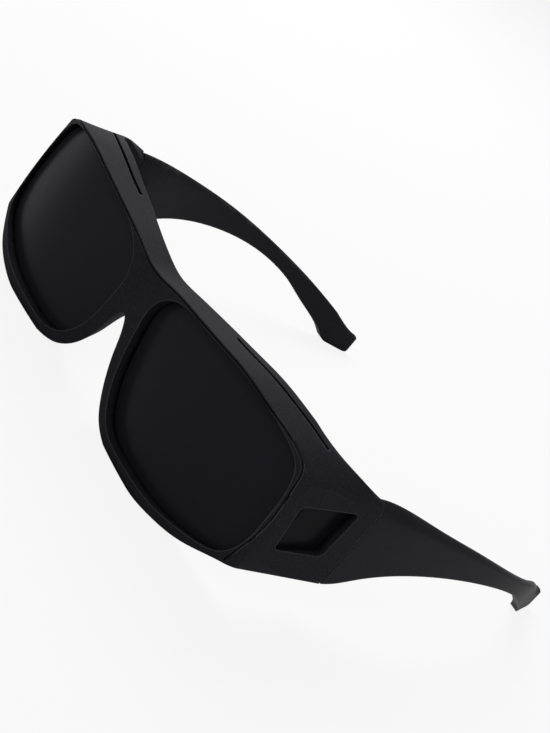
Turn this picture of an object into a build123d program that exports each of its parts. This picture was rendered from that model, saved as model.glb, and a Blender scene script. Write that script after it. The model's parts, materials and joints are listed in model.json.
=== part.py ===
from build123d import *
import os

os.makedirs("parts", exist_ok=True)

# Fitover sunglasses: one moulded front with a brow shelf and side shields, two main
# lenses, two side lenses, and two temples that fold on five-knuckle hinges.
# X runs across the face, +Y back along the temples, +Z up. Z = 0 is the table that the
# lower rims and the temple tips rest on, and the origin is under the middle of the box.
# Sizes are in millimetres. A depth is measured back from the foremost point of the
# front, and a height up from the table. Left is the wearer's left, which is +X.

# Overall sizes
overall_depth = 160.0
frame_height = 46.6
front_y = -overall_depth / 2

# Plan of the front surface, from the bridge to the corner where the side shield starts
corner_half_width = 71.6
seam_half_width = 73.6
seam_depth = 40.5
side_tuck_top = 0.4
side_tuck_low = 0.6
corner_radius = 4.0
wrap_top = 12.2
wrap_middle = 9.6
wrap_low = 9.0
rake_low = 1.2
bridge_dip_top = 0.2
bridge_dip_middle = 2.0
bridge_dip_low = 4.5
middle_height_share = 0.5
plan_width_shares = (0.0, 0.20, 0.42, 0.65, 0.83, 1.0)
plan_dip_shares = (1.0, 0.42, 0.0, 0.0, 0.0, 0.0)
plan_wrap_shares = (0.0, 0.0, 0.0, 0.07, 0.43, 1.0)

# Walls of the front moulding
rim_depth_nose = 6.4
rim_depth_corner = 5.0
side_wall_corner = 1.7
side_wall_seam = 4.6
shelf_thickness = 2.4
shelf_haunch = 2.0
overrun = 1.5

# Brow line seen from the front, as drops below the peak, and the shelf's rear edge
brow_half_width = 75.0
brow_width_shares = (0.0, 0.133, 0.293, 0.453, 0.60, 0.747, 0.88, 1.0)
brow_drop = 6.4
brow_drop_shares = (0.86, 0.625, 0.36, 0.14, 0.0, 0.21, 0.625, 1.0)
shelf_reach = 31.0
shelf_half_width = 71.0
shelf_width_shares = (0.0, 0.17, 0.34, 0.51, 0.68, 0.82, 0.93, 1.0)
shelf_depth_shares = (0.306, 0.30, 0.355, 0.406, 0.494, 0.645, 0.86, 1.2)

# Lower edge seen from the front, from the flat that stands on the table to the side
foot_half_width = 38.0
lower_edge_half_width = 76.0
lower_edge_rise = 9.6
lower_edge_width_shares = (0.24, 0.54, 0.80, 1.0)
lower_edge_rise_shares = (0.104, 0.375, 0.82, 1.0)

# Nose arch, narrow at the front and flared towards the face
nose_height = 25.5
nose_half_width = 24.0
nose_width_shares = (0.0, 0.115, 0.178, 0.287, 0.43, 0.585, 0.79, 1.0)
nose_height_shares = (1.0, 0.855, 0.627, 0.376, 0.20, 0.094, 0.027, -0.012)
nose_flare = 4.6
nose_flare_shares = (0.0, 0.50, 0.84, 0.90, 1.0, 1.0, 1.0, 1.0)
nose_flare_rise = 1.5
nose_flare_start = 2.0
nose_flare_end = 9.0
nose_flare_excess = 0.56

# Main lens, seen from the front, with its edge held in a groove in the rim
lens_width = 63.6
lens_height = 43.0
lens_inner_edge = 6.7
lens_low_edge = 2.5
lens_thickness = 1.8
lens_recess_nose = 3.5
lens_recess_corner = 2.0
lens_lip = 0.6
lens_clearance = 0.05
lens_width_shares = (
    0.0, 0.024, 0.097, 0.185, 0.366, 0.617, 0.837, 0.951, 0.993,
    1.0, 0.988, 0.945, 0.845, 0.593, 0.323, 0.115, 0.035)
lens_height_shares = (
    0.629, 0.397, 0.137, 0.03, 0.0, 0.021, 0.09, 0.172, 0.30,
    0.50, 0.71, 0.863, 0.942, 1.0, 0.96, 0.903, 0.817)

# Parting groove round the front face, over the brow and down both corners
groove_width = 0.5
groove_depth = 0.45
groove_half_width = 70.95
groove_margin = 0.62
groove_low_height = 9.0
groove_corner_height_shares = (0.0, 0.466, 0.859, 1.0)
groove_corner_width_shares = (0.975, 1.0, 0.985, 0.966)
groove_corner_top = 40.1

# Crease between the top facet and the side, from the front corner to the temple tip
facet_overhang_share = 0.15
facet_bulge = 0.8
facet_inner_reach = 16.0
facet_depths = (-1.5, 9.5, 20.5, 31.5, 42.5)
crease_heights = (38.6, 37.6, 36.4, 34.4, 32.3)
facet_widths = (10.0, 10.0, 8.6, 3.6, 2.8)
facet_rises = (6.1, 6.1, 6.6, 6.0, 4.8)
facet_inner_rises = (5.5, 5.5, 4.0, -1.5, -12.0)

# Side window and its lens, seen from the side
window_front_top = (14.9, 31.3)
window_rear_top = (34.4, 33.2)
window_rear_low = (33.4, 17.8)
window_front_low = (17.4, 17.0)
window_corner_radius = 1.8
side_lens_thickness = 1.3
side_lens_margin = 0.8

# Vent slots through the brow shelf, near its rear edge
vent_width = 1.3
vent_width_shares = (0.40, 0.563, 0.69, 0.803, 0.894)
vent_depth_shares = (0.284, 0.31, 0.384, 0.51, 0.639)

# Temples
seam_gap = 0.25
temple_end_share = 0.992
temple_depth_shares = (0.0, 0.09, 0.20, 0.39, 0.60, 0.75, 0.875, 1.0)
temple_half_width = 76.8
temple_width_shares = (0.958, 0.974, 0.989, 1.0, 0.977, 0.92, 0.845, 0.775)
temple_walls = (4.6, 5.0, 3.8, 3.2, 3.0, 2.9, 3.1, 3.4)
temple_peak_share = 0.6
temple_peak_slope_share = -0.75
temple_tops = (37.4, 36.3, 33.9, 29.3, 22.9, 17.7, 12.6, 6.7)
temple_facet_rises = (4.8, 4.3, 3.6, 2.8, 2.3, 2.0, 1.8, 1.7)
temple_low_shares = (0.0, 0.08, 0.15, 0.23, 0.364, 0.50, 0.624, 0.733, 0.80, 0.85, 0.882,
                     0.897)
temple_lows = (9.6, 13.5, 16.8, 19.0, 20.4, 19.6, 16.8, 12.0, 7.8, 4.9, 2.6, 1.1)
tip_foot_start_share = 0.915
tip_foot_end_share = 0.97
tip_end_low = 3.4
tip_corner_radius = 1.5
low_start_slope = 0.15

# Hinges: two metal leaves with interleaved knuckles round a slotted pivot screw
hinge_height = 23.8
hinge_inset = 0.9
knuckle_count = 5
knuckle_height = 1.8
knuckle_gap = 0.1
knuckle_radius = 1.5
knuckle_swing_clearance = 0.3
pivot_radius = 0.6
pivot_clearance = 0.04
pivot_head_radius = 1.25
pivot_head_height = 0.7
pivot_tail = 0.4
leaf_length = 4.9
leaf_thickness = 1.0
leaf_start = 2.1
leaf_offset = 0.7
leaf_clearance = 0.05
leaf_screw_radius = 0.5
leaf_screw_head_radius = 0.95
leaf_screw_head_height = 0.45
leaf_screw_length = 2.6
leaf_screw_place = 3.5
leaf_screw_spacing = 5.0
leaf_screw_clearance = 0.03
slot_width = 0.3
slot_depth = 0.25

# Heights of the three plan lines that the front surface is lofted through, each with
# its corner and seam half widths, wrap, rake and bridge dip
plan_levels = (
    (-overrun, corner_half_width - side_tuck_low, seam_half_width - side_tuck_low,
     wrap_low, rake_low, bridge_dip_low),
    (frame_height * middle_height_share, corner_half_width, seam_half_width,
     wrap_middle, 0, bridge_dip_middle),
    (frame_height + overrun, corner_half_width - side_tuck_top,
     seam_half_width - side_tuck_top, wrap_top, 0, bridge_dip_top),
)
seam_y = front_y + seam_depth
temple_length = overall_depth - seam_depth


def across(points):
    """Both halves of a line over the face, from the points of its +X half."""
    return [(-x, other) for x, other in reversed(points) if x != 0] + list(points)


def at_depth(depth):
    """Upright plane across the face, at a depth behind the foremost point."""
    return Plane.XZ.offset(-(front_y + depth))


def wrapped_body(nose_depth, corner_depth, corner_wall, seam_wall):
    """Solid behind the front surface, set back and drawn in from the sides."""
    with BuildPart() as body:
        for height, corner_x, seam_x, wrap, rake, dip in plan_levels:
            line = []
            for width, dipped, wrapped in zip(
                    plan_width_shares, plan_dip_shares, plan_wrap_shares):
                set_back = nose_depth + (corner_depth - nose_depth) * wrapped
                depth = rake + dip * dipped + wrap * wrapped + set_back
                line.append(((corner_x - corner_wall) * width, front_y + depth))
            with BuildSketch(Plane.XY.offset(height)):
                with BuildLine():
                    front = Spline(*across(line))
                    Polyline(front @ 1, (seam_x - seam_wall, seam_y),
                             (seam_wall - seam_x, seam_y), front @ 0)
                make_face()
                fillet(vertices().group_by(Axis.Y)[0], radius=corner_radius)
        loft()
    return body.part


def brow_line(lift):
    """Brow seen from the front, moved up or down, as points of its +X half."""
    return [(brow_half_width * width, frame_height - brow_drop * drop + lift(width))
            for width, drop in zip(brow_width_shares, brow_drop_shares)]


def shelf_edge():
    """Rear edge of the brow shelf in plan, as points of its +X half."""
    return [(shelf_half_width * width, front_y + shelf_reach * depth)
            for width, depth in zip(shelf_width_shares, shelf_depth_shares)]


def lens_prism(margin):
    """Main lens outline of the left eye, grown by a margin, run back through the rim."""
    points = []
    for width, height in zip(lens_width_shares, lens_height_shares):
        x = lens_inner_edge - margin + (lens_width + 2 * margin) * width
        z = lens_low_edge - margin + (lens_height + 2 * margin) * height
        points.append((x, z))
    with BuildPart() as prism:
        with BuildSketch(at_depth(-overrun)):
            with BuildLine():
                Spline(*points, periodic=True)
            make_face()
        extrude(amount=-seam_depth)
    return prism.part


def nose_profile(flare):
    """Nose arch seen from the front, with a share of its flare towards the face."""
    points = []
    for width, height, wider in zip(nose_width_shares, nose_height_shares, nose_flare_shares):
        points.append((nose_half_width * width + nose_flare * wider * flare,
                       (nose_height + nose_flare_rise * flare) * height))
    return across(points)


def window_prism(margin):
    """Side window outline of the left side, grown by a margin."""
    corners = [(front_y + depth, height) for depth, height in (
        window_front_top, window_rear_top, window_rear_low, window_front_low)]
    with BuildPart() as prism:
        with BuildSketch(Plane.YZ.offset(corner_half_width - window_corner_radius * 6)):
            with BuildLine():
                Polyline(*corners, close=True)
            make_face()
            fillet(vertices(), radius=window_corner_radius)
            if margin > 0:
                offset(amount=margin, kind=Kind.ARC)
        extrude(amount=window_corner_radius * 8)
    return prism.part


def facet_cutter(stations):
    """Everything above the top facet of the left side, lofted along its crease."""
    with BuildPart() as cutter:
        for depth, side_x, crease, width, rise, inner_rise in stations:
            low = Vector(side_x + width * facet_overhang_share,
                         crease - rise * facet_overhang_share)
            high = Vector(side_x - width, crease + rise)
            across_facet = high - low
            bulge = Vector(-across_facet.Y, across_facet.X).normalized() * -facet_bulge
            ceiling = frame_height * 2
            outside = corner_half_width * 1.5
            with BuildSketch(at_depth(depth)):
                with BuildLine():
                    ThreePointArc(low, (low + high) / 2 + bulge, high)
                    Polyline(high, (high.X - facet_inner_reach, high.Y + inner_rise),
                             (high.X - facet_inner_reach, ceiling), (outside, ceiling),
                             (outside, low.Y), low)
                make_face()
        loft()
    return cutter.part


# Places shared by the pieces of one hinge
pivot_x = seam_half_width - side_wall_seam - hinge_inset
pivot_y = seam_y + seam_gap / 2
knuckle_pitch = knuckle_height + knuckle_gap
barrel_height = knuckle_count * knuckle_pitch - knuckle_gap
barrel_low = hinge_height - barrel_height / 2


def screw_places(side, turn):
    """Where the two screws of one leaf enter its plate, turned about the Y axis."""
    return [Location((pivot_x + leaf_offset, pivot_y + side * leaf_screw_place,
                      hinge_height + up * leaf_screw_spacing / 2), (0, turn, 0))
            for up in (-1, 1)]


outer_body = wrapped_body(0, 0, 0, 0)
inner_body = wrapped_body(rim_depth_nose, rim_depth_corner, side_wall_corner, side_wall_seam)
behind_rim = wrapped_body(rim_depth_nose + lens_lip, rim_depth_corner + lens_lip, 0, 0)

# Room for the wearer's own glasses: all behind the rims except the brow shelf
with BuildPart() as shelf_block:
    with BuildSketch(Plane.XZ):
        with BuildLine():
            underside = Spline(*across(brow_line(
                lambda share: -shelf_thickness - shelf_haunch * share ** 4)))
            Polyline(underside @ 1, (brow_half_width, 2 * frame_height),
                     (-brow_half_width, 2 * frame_height), underside @ 0)
        make_face()
    extrude(amount=overall_depth, both=True)
    with BuildSketch(Plane.XY):
        with BuildLine():
            edge = Spline(*across(shelf_edge()))
            Polyline(edge @ 1, (shelf_half_width + overrun, seam_y),
                     (shelf_half_width + overrun, front_y - overrun),
                     (-shelf_half_width - overrun, front_y - overrun),
                     (-shelf_half_width - overrun, seam_y), edge @ 0)
        make_face()
    extrude(amount=3 * frame_height, mode=Mode.INTERSECT)

with BuildPart() as wearer_room:
    add(inner_body)
    add(shelf_block.part, mode=Mode.SUBTRACT)

# Opening, lens groove and lens of the left eye
with BuildPart() as lens_opening:
    add(lens_prism(0))
    add(behind_rim, mode=Mode.SUBTRACT)

groove_front = wrapped_body(
    lens_recess_nose - lens_clearance, lens_recess_corner - lens_clearance, 0, 0)
groove_back = wrapped_body(
    lens_recess_nose + lens_thickness + lens_clearance,
    lens_recess_corner + lens_thickness + lens_clearance, 0, 0)
with BuildPart() as lens_groove:
    add(lens_prism(lens_lip))
    add(groove_front, mode=Mode.INTERSECT)
    add(groove_back, mode=Mode.SUBTRACT)

with BuildPart() as main_lens_left:
    add(lens_prism(lens_lip - lens_clearance))
    add(wrapped_body(lens_recess_nose, lens_recess_corner, 0, 0), mode=Mode.INTERSECT)
    add(wrapped_body(lens_recess_nose + lens_thickness,
                     lens_recess_corner + lens_thickness, 0, 0), mode=Mode.SUBTRACT)

# Side window, its rebate in the inner face of the wall, and the side lens
with BuildPart() as side_rebate:
    add(window_prism(side_lens_margin))
    add(wrapped_body(rim_depth_nose, rim_depth_corner,
                     side_wall_corner - side_lens_thickness - lens_clearance,
                     side_wall_seam - side_lens_thickness - lens_clearance),
        mode=Mode.INTERSECT)

with BuildPart() as side_lens_left:
    add(window_prism(side_lens_margin - lens_clearance))
    add(wrapped_body(rim_depth_nose + lens_clearance, rim_depth_corner + lens_clearance,
                     side_wall_corner - side_lens_thickness,
                     side_wall_seam - side_lens_thickness), mode=Mode.INTERSECT)
    add(inner_body, mode=Mode.SUBTRACT)

# Top facet of the front, twisting from the brow down to the hinge end
facet_stations = []
for depth, crease, width, rise, inner_rise in zip(
        facet_depths, crease_heights, facet_widths, facet_rises, facet_inner_rises):
    side_x = corner_half_width + (seam_half_width - corner_half_width) * depth / seam_depth
    facet_stations.append((depth, side_x, crease, width, rise, inner_rise))
front_facet = facet_cutter(facet_stations)

with BuildPart() as nose_cut:
    for depth, flare in ((-overrun, 0), (nose_flare_start, 0), (nose_flare_end, 1),
                         (nose_flare_end + 2 * nose_flare_start, 1 + nose_flare_excess)):
        with BuildSketch(at_depth(depth)):
            with BuildLine():
                arch = Spline(*nose_profile(flare))
                Polyline(arch @ 1, ((arch @ 1).X, -frame_height / 4),
                         ((arch @ 0).X, -frame_height / 4), arch @ 0)
            make_face()
    loft(ruled=True)

# Groove that runs over the brow and down both corners of the front face
with BuildPart() as parting_groove:
    with BuildSketch(at_depth(-overrun)):
        with BuildLine():
            brow = [(x, z) for x, z in brow_line(lambda share: -groove_margin)
                    if x < groove_half_width * groove_corner_width_shares[-1]]
            corner = [(groove_half_width * width,
                       groove_low_height + (groove_corner_top - groove_low_height) * height)
                      for width, height in zip(groove_corner_width_shares,
                                               groove_corner_height_shares)]
            Spline(*across(brow + corner[::-1]))
        trace(line_width=groove_width)
    extrude(amount=-seam_depth)
    add(wrapped_body(groove_depth, groove_depth, 0, 0), mode=Mode.SUBTRACT)

with BuildPart() as vent_slot:
    with BuildSketch(Plane.XY.offset(frame_height - brow_drop * 2)):
        with BuildLine():
            Spline(*[(shelf_half_width * width, front_y + shelf_reach * depth)
                     for width, depth in zip(vent_width_shares, vent_depth_shares)])
        trace(line_width=vent_width)
    extrude(amount=brow_drop * 3)

# Room for the hinge in both ends that meet at the seam
with BuildPart() as hinge_room:
    with Locations((pivot_x, pivot_y, hinge_height)):
        Cylinder(knuckle_radius + knuckle_swing_clearance,
                 barrel_height + 2 * (pivot_head_height + leaf_clearance))
    with Locations((pivot_x + leaf_offset + leaf_thickness + leaf_clearance, pivot_y,
                    hinge_height)):
        Box(side_wall_seam, 2 * (leaf_length + leaf_clearance),
            barrel_height + 2 * leaf_clearance, align=(Align.MAX, Align.CENTER, Align.CENTER))
    with Locations(*screw_places(-1, 90), *screw_places(1, 90)):
        Cylinder(leaf_screw_radius + leaf_screw_clearance,
                 leaf_screw_length + leaf_screw_clearance,
                 align=(Align.CENTER, Align.CENTER, Align.MIN))

with BuildPart() as front_frame:
    add(outer_body)
    with BuildSketch(Plane.XZ):
        with BuildLine():
            brow = Spline(*across(brow_line(lambda share: 0)))
            rise = [(foot_half_width + (lower_edge_half_width - foot_half_width) * width,
                     lower_edge_rise * height)
                    for width, height in zip(lower_edge_width_shares, lower_edge_rise_shares)]
            right = Spline((foot_half_width, 0), *rise, tangents=((1, 0), (1, 0)),
                           tangent_scalars=(1, 1))
            Polyline(brow @ 1, (lower_edge_half_width, (brow @ 1).Y), right @ 1)
            Line((foot_half_width, 0), (-foot_half_width, 0))
            mirror(right, about=Plane.YZ)
            Polyline(brow @ 0, (-lower_edge_half_width, (brow @ 1).Y),
                     (-lower_edge_half_width, (right @ 1).Y))
        make_face()
    extrude(amount=overall_depth, both=True, mode=Mode.INTERSECT)
    add(wearer_room.part, mode=Mode.SUBTRACT)
    for cut in (front_facet, lens_opening.part, lens_groove.part, window_prism(0),
                side_rebate.part, vent_slot.part, hinge_room.part):
        add(cut, mode=Mode.SUBTRACT)
        mirror(cut, about=Plane.YZ, mode=Mode.SUBTRACT)
    add(nose_cut.part, mode=Mode.SUBTRACT)
    add(parting_groove.part, mode=Mode.SUBTRACT)


def temple_plan(inwards):
    """Outer or inner line of the left temple in plan, from the hinge to the tip."""
    points = []
    for place, width, wall in zip(temple_depth_shares, temple_width_shares, temple_walls):
        points.append((temple_half_width * width - wall * inwards,
                       seam_y + seam_gap + (temple_length - seam_gap) * place))
    return points


# Left temple: its side profile, bent to the plan, with the facet along its top
with BuildPart() as temple_left:
    temple_y = seam_y + seam_gap
    with BuildSketch(Plane.YZ):
        with BuildLine():
            top = Spline(*[(temple_y + (temple_length - seam_gap) * place * temple_end_share,
                            height)
                           for place, height in zip(temple_depth_shares, temple_tops)])
            low = Spline(*[(temple_y + (temple_length - seam_gap) * place, height)
                           for place, height in zip(temple_low_shares, temple_lows)],
                         (temple_y + temple_length * tip_foot_start_share, 0),
                         tangents=((1, low_start_slope), (1, 0)))
            Polyline(low @ 1, (temple_y + temple_length * tip_foot_end_share, 0))
            Spline((temple_y + temple_length * tip_foot_end_share, 0),
                   (front_y + overall_depth, tip_end_low), top @ 1,
                   tangents=((1, 0), (-1, 2)))
            Line(low @ 0, top @ 0)
        make_face()
    extrude(amount=temple_half_width + overrun)
    with BuildSketch(Plane.XY.offset(-overrun)):
        with BuildLine():
            outer = Spline(*temple_plan(0))
            inner = Spline(*temple_plan(1))
            Line(outer @ 0, inner @ 0)
            Line(outer @ 1, inner @ 1)
        make_face()
        fillet(vertices().group_by(Axis.Y)[-1], radius=tip_corner_radius)
    extrude(amount=frame_height, mode=Mode.INTERSECT)
    temple_stations = []
    for place, width, wall, height, rise in zip(
            temple_depth_shares, temple_width_shares, temple_walls, temple_tops,
            temple_facet_rises):
        depth = seam_depth + seam_gap + (temple_length - seam_gap) * place
        temple_stations.append((depth, temple_half_width * width, height - rise,
                                wall * temple_peak_share, rise,
                                facet_inner_reach * temple_peak_slope_share))
    first = temple_stations[0]
    temple_stations.insert(0, (first[0] - overrun,) + first[1:])
    last = temple_stations[-1]
    temple_stations.append((last[0] + overrun,) + last[1:])
    add(facet_cutter(temple_stations), mode=Mode.SUBTRACT)
    add(hinge_room.part, mode=Mode.SUBTRACT)


def hinge_leaf(side, first_knuckle):
    """Plate on one side of the pivot with every other knuckle, from the given one up."""
    plate_x = pivot_x + leaf_offset
    with BuildPart() as leaf:
        with Locations((plate_x, pivot_y + side * leaf_start, barrel_low)):
            Box(leaf_thickness, leaf_length - leaf_start, barrel_height,
                align=(Align.MIN, Align.MIN if side > 0 else Align.MAX, Align.MIN))
        for number in range(first_knuckle, knuckle_count, 2):
            low = barrel_low + number * knuckle_pitch
            with Locations((pivot_x, pivot_y, low)):
                Cylinder(knuckle_radius, knuckle_height,
                         align=(Align.CENTER, Align.CENTER, Align.MIN))
            with Locations((plate_x, pivot_y, low)):
                Box(leaf_thickness, leaf_start, knuckle_height,
                    align=(Align.MIN, Align.MIN if side > 0 else Align.MAX, Align.MIN))
        with Locations((pivot_x, pivot_y, hinge_height)):
            Cylinder(pivot_radius + pivot_clearance, 2 * barrel_height, mode=Mode.SUBTRACT)
        with Locations(*screw_places(side, 90)):
            Cylinder(leaf_screw_radius + leaf_screw_clearance, 2 * leaf_thickness,
                     mode=Mode.SUBTRACT)
    return leaf.part


def slotted_screw(head_radius, head_height, shank_radius, shank_length):
    """Screw with its head on Z = 0 and its shank below."""
    with BuildPart() as screw:
        Cylinder(head_radius, head_height, align=(Align.CENTER, Align.CENTER, Align.MIN))
        chamfer(screw.edges().group_by(Axis.Z)[-1], length=slot_depth / 2)
        with Locations((0, 0, head_height)):
            Box(head_radius * 3, slot_width, slot_depth * 2, mode=Mode.SUBTRACT)
        Cylinder(shank_radius, shank_length, align=(Align.CENTER, Align.CENTER, Align.MAX))
    return screw.part


def leaf_screws(side):
    """The two screws that hold one leaf to its wall, driven outwards."""
    screw = slotted_screw(leaf_screw_head_radius, leaf_screw_head_height,
                          leaf_screw_radius, leaf_screw_length)
    with BuildPart() as screws:
        for place in screw_places(side, -90):
            add(screw.moved(place))
    return screws.part


pivot_screw = slotted_screw(pivot_head_radius, pivot_head_height, pivot_radius,
                            barrel_height + pivot_tail)
left_pieces = {
    "main_lens": main_lens_left.part,
    "side_lens": side_lens_left.part,
    "temple": temple_left.part,
    "front_hinge_leaf": hinge_leaf(-1, 0),
    "temple_hinge_leaf": hinge_leaf(1, 1),
    "hinge_screw": pivot_screw.moved(
        Location((pivot_x, pivot_y, barrel_low + barrel_height))),
    "front_leaf_screws": leaf_screws(-1),
    "temple_leaf_screws": leaf_screws(1),
}

front_frame.part.label = "front_frame"
export_step(front_frame.part, "parts/front_frame.step")
for name, left_piece in left_pieces.items():
    with BuildPart() as left:
        add(left_piece)
    left.part.label = name + "_left"
    export_step(left.part, "parts/" + name + "_left.step")
    with BuildPart() as right:
        mirror(left_piece, about=Plane.YZ)
    right.part.label = name + "_right"
    export_step(right.part, "parts/" + name + "_right.step")
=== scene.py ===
import json
import math

import bmesh
import bpy
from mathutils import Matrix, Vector


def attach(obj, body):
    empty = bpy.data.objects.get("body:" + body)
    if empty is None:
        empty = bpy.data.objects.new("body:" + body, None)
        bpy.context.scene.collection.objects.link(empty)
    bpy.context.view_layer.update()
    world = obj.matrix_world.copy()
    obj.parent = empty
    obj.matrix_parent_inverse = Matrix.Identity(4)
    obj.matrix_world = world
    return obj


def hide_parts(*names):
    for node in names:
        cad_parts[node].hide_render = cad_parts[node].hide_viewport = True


# Fitover sunglasses standing open on a pale table: matte black mouldings, near-black
# smooth lenses and small nickel hinges. Lengths are in metres.

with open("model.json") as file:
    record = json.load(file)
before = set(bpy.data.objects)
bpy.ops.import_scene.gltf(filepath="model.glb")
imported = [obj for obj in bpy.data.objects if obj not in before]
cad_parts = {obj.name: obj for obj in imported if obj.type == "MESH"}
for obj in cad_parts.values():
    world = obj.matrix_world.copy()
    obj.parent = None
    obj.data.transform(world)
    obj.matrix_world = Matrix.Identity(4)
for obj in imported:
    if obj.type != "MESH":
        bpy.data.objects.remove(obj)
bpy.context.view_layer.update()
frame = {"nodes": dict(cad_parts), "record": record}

MM = 0.001

# Camera, found from the photograph: the same object in the same frame
CAMERA_PLACE = (0.28402, -0.37226, 0.19901)
CAMERA_TURN = (63.208, -36.511, 55.355)  # degrees
CAMERA_LENS = 84.97
SENSOR_WIDTH = 36.0
CAMERA_NEAREST = 0.01
CAMERA_FARTHEST = 20.0

# Soft boxes: name, place, side and power in watts
LAMP_AIM = (0.0, 0.0, 0.02)
LAMPS = (
    ("key_box", (-0.7, 0.3, 0.7), 0.7, 12.5),
    ("front_box", (0.25, -0.85, 0.7), 0.6, 3.2),
    ("right_box", (1.0, 0.1, 0.35), 0.5, 2.7),
)

# Table and surroundings: pale to the camera and in reflections, while the surroundings
# shed only a little light on the object
FLOOR_SIZE = 6.0
FLOOR_DROP = 0.05 * MM  # keeps the table clear of the faces that stand on it
FLOOR_GREY = 0.6
FLOOR_ROUGHNESS = 0.9
FLOOR_GLOW_SHARE = 0.88
SKY_SHOWN = 0.6
SKY_LIGHT = 0.04


def set_up_camera():
    data = bpy.data.cameras.new("studio_camera")
    data.lens = CAMERA_LENS
    data.sensor_width = SENSOR_WIDTH
    data.clip_start = CAMERA_NEAREST
    data.clip_end = CAMERA_FARTHEST
    camera = bpy.data.objects.new("studio_camera", data)
    camera.location = CAMERA_PLACE
    camera.rotation_euler = [math.radians(turn) for turn in CAMERA_TURN]
    bpy.context.scene.collection.objects.link(camera)
    bpy.context.scene.camera = camera


def add_area_light(name, place, size, power):
    """Square soft box at a place, facing the object."""
    data = bpy.data.lights.new(name, "AREA")
    data.shape = "SQUARE"
    data.size = size
    data.energy = power
    lamp = bpy.data.objects.new(name, data)
    lamp.location = place
    facing = Vector(LAMP_AIM) - Vector(place)
    lamp.rotation_euler = facing.to_track_quat("-Z", "Y").to_euler()
    bpy.context.scene.collection.objects.link(lamp)


# Shader helpers: a term is either a plain value or the output of another node

OPAQUE = (1.0,)
BLACK = (0.0, 0.0, 0.0) + OPAQUE


def feed(tree, socket, term):
    """Link the term to the socket, or set the socket to it."""
    if isinstance(term, bpy.types.NodeSocket):
        tree.links.new(term, socket)
    else:
        socket.default_value = term


def add_node(tree, kind, **terms):
    """New node with its named inputs fed."""
    node = tree.nodes.new(kind)
    for name, term in terms.items():
        feed(tree, node.inputs[name.replace("_", " ")], term)
    return node


def add_math(tree, operation, *terms):
    """Result of a math node with its inputs fed in order."""
    node = tree.nodes.new("ShaderNodeMath")
    node.operation = operation
    for socket, term in zip(node.inputs, terms):
        feed(tree, socket, term)
    return node.outputs[0]


def add_mix(tree, factor, first, second):
    """Result of mixing two colours."""
    node = tree.nodes.new("ShaderNodeMix")
    node.data_type = "RGBA"
    for name, term in (("Factor", factor), ("A", first), ("B", second)):
        feed(tree, node.inputs[name], term)
    return node.outputs["Result"]


def add_range(tree, value, start=0.0, end=1.0, low=0.0, high=1.0):
    """Value moved from the range start to end into the range low to high, and held there."""
    node = add_node(tree, "ShaderNodeMapRange", Value=value, From_Min=start, From_Max=end,
                    To_Min=low, To_Max=high)
    return node.outputs["Result"]


def new_material(name):
    material = bpy.data.materials.new(name)
    material.use_nodes = True
    tree = material.node_tree
    tree.nodes.clear()
    output = tree.nodes.new("ShaderNodeOutputMaterial")
    shader = tree.nodes.new("ShaderNodeBsdfPrincipled")
    tree.links.new(shader.outputs["BSDF"], output.inputs["Surface"])
    return material, tree, shader, output


# Moulded plastic. Where two values belong to one effect, it starts at the first and is
# full at the second.

GRAIN_DETAIL = 3.0
GRAIN_ROUGHNESS = 0.6
FLECK_START, FLECK_FULL = 0.45, 0.75  # noise level
FLECK_SHARE = 0.11
SMUDGE_SCALE = 45.0
SMUDGE_DETAIL = 4.0
SMUDGE_ROUGHNESS = 0.55
NOISE_MIDDLE = 0.5
EDGE_START, EDGE_FULL = 0.99, 0.80  # cosine of the turn of the surface
# Share of the lighter colour painted along rounded edges as a highlight
EDGE_HIGHLIGHT_SHARE = 0.5
EDGE_SMOOTHING = -0.12
# Painted shade in hollows, set by how much of the surroundings is open to a point
HOLLOW_START, HOLLOW_FULL = 0.85, 0.45  # share of open surroundings
HOLLOW_REACH = 2.5 * MM
TRACED_SAMPLES = 8
PLASTIC_IOR = 1.5


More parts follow.
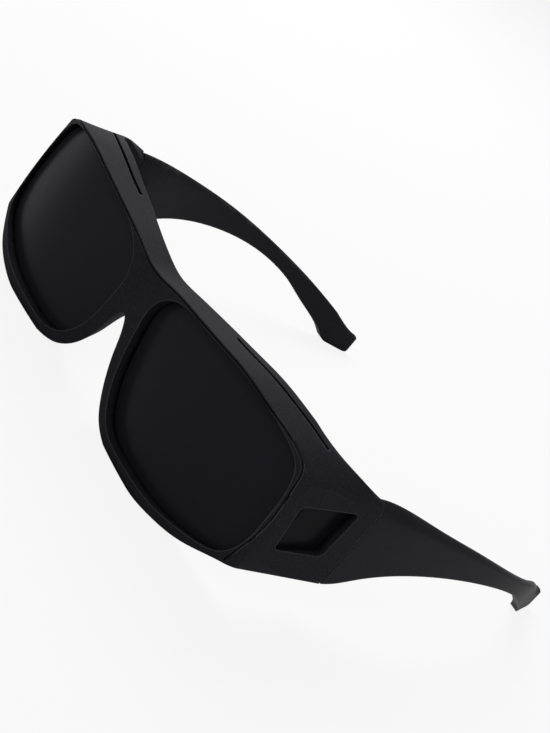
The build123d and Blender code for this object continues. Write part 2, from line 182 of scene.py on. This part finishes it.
def soft_touch_group():
    """Fine moulded grain with faint smudges, a painted highlight along round edges and painted
    shade in hollows.
    """
    group = bpy.data.node_groups.new("Moulded surface", "ShaderNodeTree")
    for name, kind, value in (
        ("Color", "NodeSocketColor", (0.02, 0.02, 0.02) + OPAQUE),
        ("Fleck and Highlight Color", "NodeSocketColor", (0.05, 0.05, 0.05) + OPAQUE),
        ("Roughness", "NodeSocketFloat", 0.5),
        ("Grain Size", "NodeSocketFloat", 0.3),
        ("Grain Height", "NodeSocketFloat", 0.01),
        ("Smudges", "NodeSocketFloat", 0.08),
        ("Edge Radius", "NodeSocketFloat", 0.4),
        ("Painted Hollow Shade", "NodeSocketFloat", 0.0),
    ):
        socket = group.interface.new_socket(name, in_out="INPUT", socket_type=kind)
        socket.default_value = value
    for name, kind in (
        ("Color", "NodeSocketColor"),
        ("Roughness", "NodeSocketFloat"),
        ("Normal", "NodeSocketVector"),
    ):
        group.interface.new_socket(name, in_out="OUTPUT", socket_type=kind)
    given = group.nodes.new("NodeGroupInput").outputs
    result = group.nodes.new("NodeGroupOutput").inputs
    place = group.nodes.new("ShaderNodeTexCoord").outputs["Object"]

    grain = add_node(
        group, "ShaderNodeTexNoise", Vector=place,
        Scale=add_math(group, "DIVIDE", 1.0 / MM, given["Grain Size"]),
        Detail=GRAIN_DETAIL, Roughness=GRAIN_ROUGHNESS).outputs["Fac"]
    smudge = add_node(
        group, "ShaderNodeTexNoise", Vector=place, Scale=SMUDGE_SCALE,
        Detail=SMUDGE_DETAIL, Roughness=SMUDGE_ROUGHNESS).outputs["Fac"]

    # Rounded edges, and how far the rounding turns the surface
    bevel = add_node(group, "ShaderNodeBevel",
                     Radius=add_math(group, "MULTIPLY", given["Edge Radius"], MM))
    bevel.samples = TRACED_SAMPLES
    rounded = bevel.outputs["Normal"]
    geometry = group.nodes.new("ShaderNodeNewGeometry")
    turned = group.nodes.new("ShaderNodeVectorMath")
    turned.operation = "DOT_PRODUCT"
    group.links.new(rounded, turned.inputs[0])
    group.links.new(geometry.outputs["Normal"], turned.inputs[1])
    edge = add_range(group, turned.outputs["Value"], EDGE_START, EDGE_FULL)

    # Colour: grain flecks, then a painted highlight along the rounded edges
    fleck = add_range(group, grain, FLECK_START, FLECK_FULL, high=FLECK_SHARE)
    flecked = add_mix(group, fleck, given["Color"], given["Fleck and Highlight Color"])
    highlight_share = add_math(group, "MULTIPLY", edge, EDGE_HIGHLIGHT_SHARE)
    edge_highlit = add_mix(group, highlight_share, flecked, given["Fleck and Highlight Color"])

    # Painted shade: grooves, slots and the walls of recesses are darkened towards black where
    # little of the surroundings is open to them
    hollow = add_node(group, "ShaderNodeAmbientOcclusion", Distance=HOLLOW_REACH)
    hollow.samples = TRACED_SAMPLES
    painted_shade = add_range(group, hollow.outputs["AO"], HOLLOW_START, HOLLOW_FULL,
                         high=given["Painted Hollow Shade"])
    group.links.new(add_mix(group, painted_shade, edge_highlit, BLACK), result["Color"])

    # Roughness: smudges either way, and a little smoother along rubbed edges
    either_way = add_math(group, "SUBTRACT", smudge, NOISE_MIDDLE)
    smudged = add_math(group, "MULTIPLY_ADD", either_way, given["Smudges"],
                       given["Roughness"])
    rubbed = add_math(group, "MULTIPLY_ADD", edge, EDGE_SMOOTHING, smudged)
    group.links.new(rubbed, result["Roughness"])

    # Grain relief on the rounded surface
    relief = add_node(group, "ShaderNodeBump", Strength=1.0,
                      Distance=add_math(group, "MULTIPLY", given["Grain Height"], MM),
                      Height=grain, Normal=rounded)
    group.links.new(relief.outputs["Normal"], result["Normal"])
    return group


moulded_surface = soft_touch_group()


def moulded_material(name, color, fleck_and_highlight_color, roughness, grain_size, grain_height, smudges,
                     edge_radius, painted_hollow_shade, reflection):
    """Black plastic. The grain's size and height and the edge radius are in millimetres."""
    material, tree, shader, _ = new_material(name)
    surface = tree.nodes.new("ShaderNodeGroup")
    surface.node_tree = moulded_surface
    for socket, value in (
        ("Color", color + OPAQUE),
        ("Fleck and Highlight Color", fleck_and_highlight_color + OPAQUE),
        ("Roughness", roughness),
        ("Grain Size", grain_size),
        ("Grain Height", grain_height),
        ("Smudges", smudges),
        ("Edge Radius", edge_radius),
        ("Painted Hollow Shade", painted_hollow_shade),
    ):
        surface.inputs[socket].default_value = value
    tree.links.new(surface.outputs["Color"], shader.inputs["Base Color"])
    tree.links.new(surface.outputs["Roughness"], shader.inputs["Roughness"])
    tree.links.new(surface.outputs["Normal"], shader.inputs["Normal"])
    shader.inputs["IOR"].default_value = PLASTIC_IOR
    shader.inputs["Specular IOR Level"].default_value = reflection
    return material


# Lens flecks and edges take a colour this much lighter than the tint; along the edges it is a
# painted highlight
LENS_EDGE_HIGHLIGHT = 1.25


def lens_material(name, color, reflection):
    """Near-black tinted lens with a smooth face, a trace of dust and wiping, and a painted
    highlight along its edges.
    """
    return moulded_material(
        name, color=color, fleck_and_highlight_color=tuple(LENS_EDGE_HIGHLIGHT * part for part in color),
        roughness=0.26, grain_size=6.0, grain_height=0.0, smudges=0.08, edge_radius=0.15,
        painted_hollow_shade=0.0, reflection=reflection)


# Brushed metal: fine scratches drawn out along one axis
BRUSH_SCALE = 2500.0
BRUSH_STRETCH = (1.0, 14.0, 1.0)
BRUSH_DETAIL = 4.0
BRUSH_ROUGHNESS = 0.6
BRUSH_SMOOTHER, BRUSH_ROUGHER = -0.08, 0.12
BRUSH_SHADE = 0.75
BRUSH_STRENGTH = 0.4
BRUSH_DEPTH = 0.004 * MM


def metal_material(name, color, roughness):
    material, tree, shader, _ = new_material(name)
    place = tree.nodes.new("ShaderNodeTexCoord").outputs["Object"]
    stretch = add_node(tree, "ShaderNodeMapping", Vector=place, Scale=BRUSH_STRETCH)
    brush = add_node(
        tree, "ShaderNodeTexNoise", Vector=stretch.outputs["Vector"], Scale=BRUSH_SCALE,
        Detail=BRUSH_DETAIL, Roughness=BRUSH_ROUGHNESS).outputs["Fac"]
    polish = add_range(tree, brush, low=roughness + BRUSH_SMOOTHER,
                       high=roughness + BRUSH_ROUGHER)
    tree.links.new(polish, shader.inputs["Roughness"])
    shade = tuple(BRUSH_SHADE * part for part in color)
    tint = add_mix(tree, brush, shade + OPAQUE, color + OPAQUE)
    tree.links.new(tint, shader.inputs["Base Color"])
    relief = add_node(tree, "ShaderNodeBump", Strength=BRUSH_STRENGTH, Distance=BRUSH_DEPTH,
                      Height=brush)
    tree.links.new(relief.outputs["Normal"], shader.inputs["Normal"])
    shader.inputs["Metallic"].default_value = 1.0
    return material


# Each moulding's second, lighter colour goes to grain flecks and to a painted highlight along
# rounded edges; the hollow share is painted shade in grooves and recesses
FINISHES = {
    "frame": moulded_material(
        "Soft-touch matte black", color=(0.0166, 0.0157, 0.0190),
        fleck_and_highlight_color=(0.1350, 0.1300, 0.1450), roughness=0.68, grain_size=0.45,
        grain_height=0.07, smudges=0.12, edge_radius=0.55, painted_hollow_shade=0.85,
        reflection=0.025),
    "temple": moulded_material(
        "Temple matte black", color=(0.0094, 0.0088, 0.0114),
        fleck_and_highlight_color=(0.0650, 0.0625, 0.0710), roughness=0.52, grain_size=0.45,
        grain_height=0.03, smudges=0.12, edge_radius=0.7, painted_hollow_shade=0.85,
        reflection=0.06),
    "main_lens": lens_material("Main lens tint", (0.0163, 0.0158, 0.0197), 0.025),
    "side_lens": lens_material("Side lens tint", (0.0060, 0.0057, 0.0074), 0.012),
    "hinge_metal": metal_material("Hinge nickel", (0.56, 0.54, 0.50), 0.34),
    "screw_metal": metal_material("Screw steel", (0.60, 0.60, 0.61), 0.28),
}

# Every piece: the CAD node's own shape, merged so that its curved faces shade smoothly

SMOOTH_ANGLE = math.radians(25.0)
MERGE_DISTANCE = 0.002 * MM

slot_of_node = {row["node"]: row["material_slot"] for row in frame["record"]["subparts"]}
body_of_node = {
    member: body
    for body, members in frame["record"]["behaviour"]["bodies"].items()
    for member in members
}


def finish_piece(node):
    mesh = frame["nodes"][node].data.copy()
    piece = bpy.data.objects.new(node + "_finished", mesh)
    bpy.context.scene.collection.objects.link(piece)
    shape = bmesh.new()
    shape.from_mesh(mesh)
    bmesh.ops.remove_doubles(shape, verts=shape.verts, dist=MERGE_DISTANCE)
    shape.to_mesh(mesh)
    shape.free()
    bpy.ops.object.select_all(action="DESELECT")
    piece.select_set(True)
    bpy.context.view_layer.objects.active = piece
    bpy.ops.object.shade_smooth_by_angle(angle=SMOOTH_ANGLE)
    evened = piece.modifiers.new("even_shading", "WEIGHTED_NORMAL")
    evened.keep_sharp = True
    mesh.materials.clear()
    mesh.materials.append(FINISHES[slot_of_node[node]])
    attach(piece, body_of_node[node])
    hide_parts(node)


for node in sorted(frame["nodes"]):
    finish_piece(node)

# Table, surroundings, lamps and camera


def backdrop_rays(tree):
    """1 for rays from the camera, from reflecting faces and through clear ones."""
    path = tree.nodes.new("ShaderNodeLightPath")
    rays = path.outputs["Is Camera Ray"]
    for kind in ("Is Glossy Ray", "Is Transmission Ray"):
        rays = add_math(tree, "MAXIMUM", rays, path.outputs[kind])
    return rays


def set_up_floor():
    bpy.ops.mesh.primitive_plane_add(size=FLOOR_SIZE, location=(0.0, 0.0, -FLOOR_DROP))
    floor = bpy.context.active_object
    floor.name = "table_top"
    pale, tree, shader, output = new_material("Pale table")
    shader.inputs["Base Color"].default_value = (FLOOR_GREY,) * 3 + OPAQUE
    shader.inputs["Roughness"].default_value = FLOOR_ROUGHNESS
    glow = add_node(tree, "ShaderNodeEmission", Strength=1.0)
    share = add_math(tree, "MULTIPLY", backdrop_rays(tree), FLOOR_GLOW_SHARE)
    blend = tree.nodes.new("ShaderNodeMixShader")
    layers = (share, shader.outputs["BSDF"], glow.outputs["Emission"])
    for layer, socket in zip(layers, blend.inputs):
        tree.links.new(layer, socket)
    tree.links.new(blend.outputs["Shader"], output.inputs["Surface"])
    floor.data.materials.append(pale)


def set_up_surroundings():
    world = bpy.data.worlds.new("Studio")
    world.use_nodes = True
    tree = world.node_tree
    sky = tree.nodes["Background"]
    sky.inputs["Color"].default_value = (1.0, 1.0, 1.0) + OPAQUE
    brightness = add_math(tree, "MULTIPLY_ADD", backdrop_rays(tree), SKY_SHOWN - SKY_LIGHT,
                          SKY_LIGHT)
    tree.links.new(brightness, sky.inputs["Strength"])
    bpy.context.scene.world = world


set_up_floor()
set_up_surroundings()
for name, place, size, power in LAMPS:
    add_area_light(name, place, size, power)
bpy.context.scene.view_settings.view_transform = "Standard"
set_up_camera()
